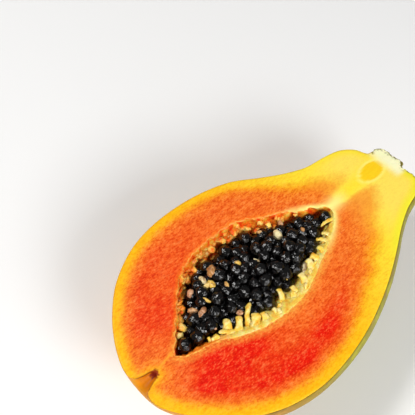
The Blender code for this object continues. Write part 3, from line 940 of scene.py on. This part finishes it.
def strand(root, bend, tip, width, columns=16, rows=14):
    """One flap, bent through three points, ragged and torn at its tip."""
    turn = np.array((tip - root).to_track_quat("Z", "Y").to_matrix())
    sideways, upward = turn[:, 0], turn[:, 1]
    ends = [np.array(p) for p in (root, 2 * bend - (root + tip) / 2, tip)]
    phase = root.x / mm

    def rule(u, v):
        t, a = u[:, None], 2 * math.pi * v
        path = ends[0] * (1 - t) ** 2 + 2 * ends[1] * t * (1 - t) + ends[2] * t**2
        taper = 1.15 - 0.35 * u + 0.25 * np.exp(-5 * u) + 0.08 * np.sin(9 * u + phase)
        closed = np.sqrt(np.clip(9 * (1 - u), 0, 1) * np.clip(14 * u, 0, 1))  # at both ends
        reach = width / 2 * taper * closed
        frayed = 1 + 0.30 * np.sin(2 * a + 5 * u + phase) * np.sin(3 * a + phase)
        breadth = (reach * frayed * np.cos(a))[:, None] * sideways
        return path + breadth + (STRAND_THICKNESS * reach * np.sin(a))[:, None] * upward

    made = sheet("strand", columns, rows, rule)
    weld(made)
    spots = points_of(made)
    rough = 0.30 * noise_at(spots, 1.6 * mm) + 0.22 * noise_at(spots, 0.7 * mm)
    move_points(made, spots + points_of(made, "normal") * rough[:, None] * mm)
    return made


strands = []
for along, across, to_x, to_y, rise, bow, width in STRANDS:
    foot = strand_foot(along * mm, across)
    reach = Vector((to_x, to_y, rise)) * mm
    bend = foot + reach / 2 + Vector((bow * mm, 0, STRAND_ARCH))
    root = foot - reach.normalized() * STRAND_ROOT - Vector((0, 0, STRAND_SINK))
    strands.append(strand(root, bend, foot + reach, width * mm))
print(len(strands), "strands as in the solids")

# %% [markdown]
# Between them the real lining has many finer ones. These are only looks, so they are drawn
# from a random start of their own: some lie low along the near edge, more stand high on the
# far wall, and stubbier ones fill it lower down, next to the seeds.

# %% Finer strands
FINE_STRANDS = 119
FINE_ORDER = ("near", "high", "low", "high", "low", "low", "high")
FINE_KINDS = {
    # place across the cavity; reach along, across and up; how much longer, and width, in mm
    "near": ((-0.95, -0.80), (-2.0, 2.6), 2.4, (-0.8, 0.4), 0.0, (1.4, 3.0)),
    "high": ((0.965, 0.996), (-1.6, 1.6), -2.2, (-2.6, -0.4), 0.0, (2.0, 4.4)),
    "low": ((0.88, 0.965), (-1.0, 1.0), -2.2, (0.4, 1.4), 0.6, (2.0, 4.4)),
}
fine_draw = random.Random(21).uniform
for k in range(FINE_STRANDS):
    where_across, to_x, to_y, rise, longer, widths = FINE_KINDS[FINE_ORDER[k % len(FINE_ORDER)]]
    foot = strand_foot(fine_draw(22, 100) * mm, fine_draw(*where_across))
    length = (fine_draw(0.4, 1.0) + longer) * mm
    reach = Vector((fine_draw(*to_x), to_y, fine_draw(*rise))) * length
    bend = foot + reach / 2 + Vector((0, 0, fine_draw(0.1, 0.6) * mm))
    root = foot - reach * 0.3 - Vector((0, 0, 0.8 * mm))
    strands.append(strand(root, bend, foot + reach, fine_draw(*widths) * mm, 8, 9))
strands = merge(strands, "strands")
move_points(strands, points_of(strands) + np.array(shift))
smooth(strands)
print("strands:", len(strands.data.polygons), "faces")

# %% Finish of the strands
shader, where = new_finish(strands, "pale strand")
grain = grained(where, 0.8 * mm)
broad = lumps_of(where, 3.0 * mm)
near = ramp(
    scaled(broad, 0.30, 0.66),
    (0.0, 248, 176, 48), (0.4, 254, 222, 90), (1.0, 255, 244, 170),
)
far = ramp(
    scaled(broad, 0.36, 0.64),
    (0.0, 252, 98, 24), (0.42, 255, 164, 56), (1.0, 255, 228, 120),
)
on_far_side = scaled(place_of(where)["Y"], 4 * mm, 12 * mm)
colour = mixed(on_far_side, near, far)
fibres = scaled(grain["Fibres"], 0.35, 0.6, 0.35, 0.0)
colour = mixed(fibres, colour, screen(228, 120, 30))
wet = scaled(grain["Specks"], 0.35, 0.65, 0.22, 0.5)
bump = (0.5, 0.3 * mm, grain["Relief"])
finish(shader, colour, wet, bump, 0.3, (0.12, (1.0, 0.6, 0.25), 1.0 * mm))
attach(strands, "root")
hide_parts("papaya_half")

# %% [markdown]
# The seeds. The same draws as in the solids give the middle and the size of each seed of the
# heap's surface. A few more seeds are tucked in along the edges, closer to the lining than
# the solids may be, and others lie below them all and close the gaps.

# %% Where the seeds lie
SEED_RADIUS = 3.0 * mm
SEED_STRETCH = 1.12
SEED_SPACING = 0.72
SEED_CLEARANCE = 0.4 * mm
SEED_TRIES = 9000
SEED_STATIONS = 120
CHANCE_START = 7
NEAR_LEVEL = -3.7 * mm
FAR_LEVEL = -8.8 * mm
CROWN = 2.0 * mm
LEVEL_SPREAD = 2.2 * mm
TUCK_TRIES = 2500
TUCK_CLEARANCE = -0.8 * mm  # these may sink into the lining a little
BELOW_TRIES = 4000
BELOW_FROM = -7.0 * mm
BELOW_CLEARANCE = 0.3 * mm
solid = frame["nodes"]["papaya_half"]
solid_points = [Vector(p) for p in points_of(solid) - np.array(shift)]
solid_faces = [tuple(face.vertices) for face in solid.data.polygons]
surface = BVHTree.FromPolygons(solid_points, solid_faces)
stations = np.linspace(0, 1, SEED_STATIONS + 1)
heap_far, heap_near = cavity_side(cavity_far, stations), cavity_side(cavity_near, stations)


def heap_level(x, y):
    f = heap_far[np.abs(heap_far[:, 0] - x).argmin(), 1]
    n = heap_near[np.abs(heap_near[:, 0] - x).argmin(), 1]
    to_far = min(max((y - n) / max(f - n, 1e-6), 0), 1)
    return NEAR_LEVEL + (FAR_LEVEL - NEAR_LEVEL) * to_far**2 + CROWN * 4 * to_far * (1 - to_far)


def throw_seeds(draw, tries, made, low, high, sizes, clearance, under_sky=False):
    """Throws seeds over the heap and adds those that lie clear of the fruit and the rest,
    with nothing above them where under_sky is set."""
    for _ in range(tries):
        s = draw.randrange(2, SEED_STATIONS - 1)
        to_far = draw.random()
        x, y = heap_near[s] + (heap_far[s] - heap_near[s]) * to_far
        place = Vector((x, y, heap_level(x, y) + draw.uniform(low, high)))
        radius = SEED_RADIUS * draw.uniform(*sizes)
        spot, normal, _, gap = surface.find_nearest(place)
        in_the_open = (place - spot).dot(normal) > 0
        if under_sky and surface.ray_cast(place, Vector((0, 0, 1)))[0]:
            continue
        if in_the_open and gap > radius * SEED_STRETCH + clearance and all(
            (place - other).length > SEED_SPACING * (radius + size) for other, size in made
        ):
            made.append((place, radius))


heap = []
chance = random.Random(CHANCE_START)
throw_seeds(chance, SEED_TRIES, heap, -LEVEL_SPREAD, LEVEL_SPREAD, (0.90, 1.08), SEED_CLEARANCE)
in_solids = len(heap)
tuck_chance = random.Random(33)
throw_seeds(
    tuck_chance, TUCK_TRIES, heap, -LEVEL_SPREAD, LEVEL_SPREAD / 2, (0.86, 1.00), TUCK_CLEARANCE,
    under_sky=True,
)
shown = len(heap)
throw_seeds(
    tuck_chance, BELOW_TRIES, heap, BELOW_FROM, -LEVEL_SPREAD, (0.95, 1.05), BELOW_CLEARANCE,
    under_sky=True,
)
print(in_solids, "seeds as in the solids,", shown - in_solids, "tucked in")
print(len(heap) - shown, "more below them")

# %% [markdown]
# A papaya seed is a black, wrinkled egg in a thin wet skin. Wrinkles on something 6 mm long
# show as broken highlights, so they are real shapes here: a few seeds are modelled from an ico
# sphere with two Displace modifiers, one for warts in rows and one for unevenness, and then
# copied with a turn of their own.

# %% Seed patterns
SEED_PATTERNS = 6
PLAIN_PATTERNS = 2  # coarser ones, for the seeds below
WART_SIZE = 1.25 * mm
WART_HEIGHT = 0.50 * mm
UNEVEN_SIZE = 2.4 * mm
UNEVEN_HEIGHT = 0.6 * mm
PATTERN_STEP = 0.02  # each pattern is displaced at a place of its own in the textures


def seed_pattern(number, subdivisions):
    bpy.ops.object.select_all(action="DESELECT")
    bpy.ops.mesh.primitive_ico_sphere_add(subdivisions=subdivisions, radius=SEED_RADIUS)
    made = bpy.context.object
    made.name = f"seed_pattern_{number}"
    bpy.ops.object.mode_set(mode="EDIT")
    bpy.ops.mesh.select_all(action="SELECT")
    bpy.ops.transform.resize(value=(1, 1, SEED_STRETCH))
    bpy.ops.transform.translate(value=(PATTERN_STEP * number, 0, 0))
    bpy.ops.object.mode_set(mode="OBJECT")
    warts = bpy.data.textures.new(f"warts {number}", "VORONOI")
    warts.noise_scale = WART_SIZE
    uneven = bpy.data.textures.new(f"uneven {number}", "CLOUDS")
    uneven.noise_scale = UNEVEN_SIZE
    for texture, height in ((warts, WART_HEIGHT), (uneven, UNEVEN_HEIGHT)):
        layer = made.modifiers.new(texture.name, "DISPLACE")
        layer.texture = texture
        layer.strength = height
        layer.mid_level = 0.5
        bpy.ops.object.modifier_apply(modifier=layer.name)
    move_points(made, points_of(made) - (PATTERN_STEP * number, 0, 0))
    return made


patterns = [seed_pattern(k, 4) for k in range(SEED_PATTERNS)]
plain_patterns = [seed_pattern(k, 2) for k in range(PLAIN_PATTERNS)]
print("a seed has", len(patterns[0].data.polygons), "faces")


# %% The heap of seeds
def placed_copy(pattern, place, radius, turn):
    made = pattern.copy()
    made.data = pattern.data.copy()
    bpy.context.scene.collection.objects.link(made)
    size = Matrix.Scale(radius / SEED_RADIUS, 4)
    made.data.transform(Matrix.Translation(place + shift) @ turn @ size)
    return made


seeds = []
for k, (place, radius) in enumerate(heap):
    draw = chance if k < in_solids else tuck_chance
    turn = Euler([draw.uniform(0, math.pi) for _ in range(3)]).to_matrix().to_4x4()
    kinds = patterns if k < shown else plain_patterns
    seeds.append(placed_copy(kinds[k % len(kinds)], place, radius, turn))
seeds = merge(seeds, "black_seeds")
smooth(seeds)
for pattern in plain_patterns:
    bpy.data.objects.remove(pattern)
print("seeds:", len(seeds.data.polygons), "faces")

# %% Finish of the seeds
shader, where = new_finish(seeds, "wet black seed")
fine = lumps_of(where, 0.7 * mm)
colour = ramp(
    lumps_of(where, 2.5 * mm),
    (0.40, 3, 2, 2), (0.65, 8, 5, 6), (0.85, 34, 20, 20),
)
wrinkles = plus(cells_of(where, 1.1 * mm), fine)
wet = scaled(fine, 0.3, 0.7, 0.06, 0.16)
finish(shader, colour, wet, (1.0, 0.16 * mm, wrinkles), 0.60)
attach(seeds, "root")
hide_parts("seeds")

# %% [markdown]
# Some seeds never ripened. They are pale, smaller than the rest or lumpier, and no two have
# the same tint: cream, yellow, pinkish or tan. Each is dropped at its place until it touches
# a seed below it, and then sinks in between them a little.

# %% Pale seeds
PALE_SEEDS = [
    # along, across, radius, how much longer than wide, and tint from cream at 0 to tan at 1
    (50, 17.3, 2.2, 1.15, 0.95), (44.6, 17.1, 1.5, 1.5, 0.05), (45.7, 12.6, 1.7, 1.4, 0.35),
    (43.6, 13.8, 1.2, 1.3, 0.25), (36.2, 16.3, 1.5, 1.4, 0.65), (38.6, 8.6, 1, 1.9, 0.40),
    (31.7, 10, 1.6, 1.3, 0.60), (33.6, 6, 1.6, 1.4, 0.75), (45, -4.7, 1.3, 1.2, 0.80),
    (50.1, 7.9, 1, 1.4, 0.50), (60.7, 12, 1.2, 1.1, 0.40), (68.6, 7.8, 0.7, 2, 0.05),
    (31.9, -2.6, 0.9, 1.3, 0.65), (89.7, 12.9, 1.3, 1.2, 0.85), (79.8, 16.8, 0.9, 1.3, 0.55),
    (93.8, 3.4, 1, 1.2, 1.00), (84.7, 9.8, 1.9, 1.2, 0.05), (81.6, -9.2, 1.7, 1.7, 0),
    (71, -7.7, 1.3, 1.2, 0.30), (85.8, 16.6, 1.2, 1.5, 0.60),
]
PALE_SINK = 1.2  # of its own radius
PALE_TOP = 0.2 * mm
PALE_LUMPS = 0.35 * mm


def resting_height(x, y, radius):
    """Height of a small seed's middle where it has sunk in between the seeds below it."""
    best = heap_level(x, y) - LEVEL_SPREAD
    for place, size in heap:
        apart = math.hypot(place.x - x, place.y - y)
        if apart < size + radius:
            touching = place.z + math.sqrt((size + radius) ** 2 - apart**2)
            best = max(best, touching - PALE_SINK * radius)
    return best


pale_chance = random.Random(5)
pale = []
for k, (x, y, radius, longer, tint) in enumerate(PALE_SEEDS):
    x, y, radius = x * mm, y * mm, radius * mm
    place = Vector((x, y, min(resting_height(x, y, radius), PALE_TOP)))
    angles = (pale_chance.uniform(1.1, 1.9), 0, pale_chance.uniform(0, math.pi))
    thinner = 1 / longer**0.5
    turn = Euler(angles).to_matrix().to_4x4() @ Matrix.Diagonal((thinner, thinner, longer, 1))
    made = placed_copy(patterns[k % SEED_PATTERNS], place, radius, turn)
    spots = points_of(made)
    lumpy = PALE_LUMPS * noise_at(spots, 1.5 * mm)
    move_points(made, spots + points_of(made, "normal") * lumpy[:, None])
    store(made, tint=tint)
    pale.append(made)
pale = merge(pale, "pale_seeds")
for pattern in patterns:
    bpy.data.objects.remove(pattern)
smooth(pale)
print("pale seeds:", len(PALE_SEEDS))

# %% Finish of the pale seeds
shader, where = new_finish(pale, "unripe seed")
broad = lumps_of(where, 2.4 * mm)
fine = lumps_of(where, 0.8 * mm)
tinted = ramp(
    kept("tint"),
    (0.0, 250, 236, 190), (0.35, 248, 204, 84), (0.65, 222, 166, 126), (1.0, 186, 128, 62),
)
browned = mixed(1.0, tinted, (0.42, 0.28, 0.18, 1.0), "MULTIPLY")
colour = mixed(scaled(broad, 0.52, 0.36, 0.0, 0.8), tinted, browned)
bright = scaled(fine, 0.55, 0.75, 0.0, 0.5)
colour = mixed(bright, colour, screen(255, 240, 210))
glow = (0.1, (1.0, 0.7, 0.4), 1.0 * mm)
finish(shader, colour, 0.3, (0.8, 0.35 * mm, fine), 0.5, glow)
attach(pale, "root")
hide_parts("seeds")

# %% [markdown]
# The camera looks down on the cut face from the blossom end's near side, at the photograph's
# angle, with a long lens. It aims at a point of the cut face's plane.

# %% Camera
CAMERA_AZIMUTH = math.radians(-44.385)
CAMERA_ELEVATION = math.radians(60.0)
CAMERA_DISTANCE = 364.24 * mm
AIM = Vector((70.773 * mm, 40.982 * mm, 0.0))
FOCAL_LENGTH_PIXELS = 800
PICTURE_PIXELS = 415
SENSOR = 36.0


def aim(thing, place, target):
    thing.location = place
    thing.rotation_euler = (target - place).to_track_quat("-Z", "Y").to_euler()


target = AIM + shift
toward_camera = Vector((
    math.sin(CAMERA_AZIMUTH) * math.cos(CAMERA_ELEVATION),
    -math.cos(CAMERA_AZIMUTH) * math.cos(CAMERA_ELEVATION),
    math.sin(CAMERA_ELEVATION),
))
camera = bpy.data.objects.new("camera", bpy.data.cameras.new("camera"))
bpy.context.scene.collection.objects.link(camera)
bpy.context.scene.camera = camera
camera.data.sensor_width = SENSOR
camera.data.lens = FOCAL_LENGTH_PIXELS / PICTURE_PIXELS * SENSOR
camera.data.clip_start = 10 * mm
aim(camera, target + toward_camera * CAMERA_DISTANCE, target)
print("lens:", round(camera.data.lens, 1), "mm")

# %% [markdown]
# The photograph is lit brightly from all round, so the scene has a white world, a soft light
# from the upper left and behind, two more from the camera's side, one of them low enough to
# reach the far wall of the cavity, and a pale floor.

# %% Floor and light
FLOOR_SIZE = 6.0
FLOOR_COLOURS = (0.93, 0.93, 0.93, 1), (0.97, 0.97, 0.97, 1)
WORLD_LIGHT = 0.16
LIT_POINT = Vector((0, 0, 30 * mm))
bpy.ops.object.select_all(action="DESELECT")
bpy.ops.mesh.primitive_plane_add(size=FLOOR_SIZE)
floor = bpy.context.object
floor.name = "floor"
shader, where = new_finish(floor, "pale floor")
feed(shader.inputs["Base Color"], mixed(lumps_of(where, 0.4), *FLOOR_COLOURS))
shader.inputs["Roughness"].default_value = 0.9


def soft_light(name, place, size, power, colour=(1, 1, 1)):
    lamp = bpy.data.lights.new(name, "AREA")
    lamp.size = size
    lamp.energy = power
    lamp.color = colour
    thing = bpy.data.objects.new(name, lamp)
    bpy.context.scene.collection.objects.link(thing)
    aim(thing, Vector(place), LIT_POINT)


soft_light("key", (-0.30, 0.41, 0.86), 0.24, 5.5, (1.0, 0.99, 0.97))
soft_light("fill", (-0.10, -0.75, 0.65), 0.4, 4.9)
soft_light("low fill", (-0.30, -0.90, 0.28), 1.0, 5.0)
world = bpy.data.worlds.new("bright room")
bpy.context.scene.world = world
world.use_nodes = True
sky = world.node_tree.nodes["Background"]
sky.inputs["Color"].default_value = (1, 1, 1, 1)
sky.inputs["Strength"].default_value = WORLD_LIGHT
bpy.context.scene.view_settings.view_transform = "Standard"
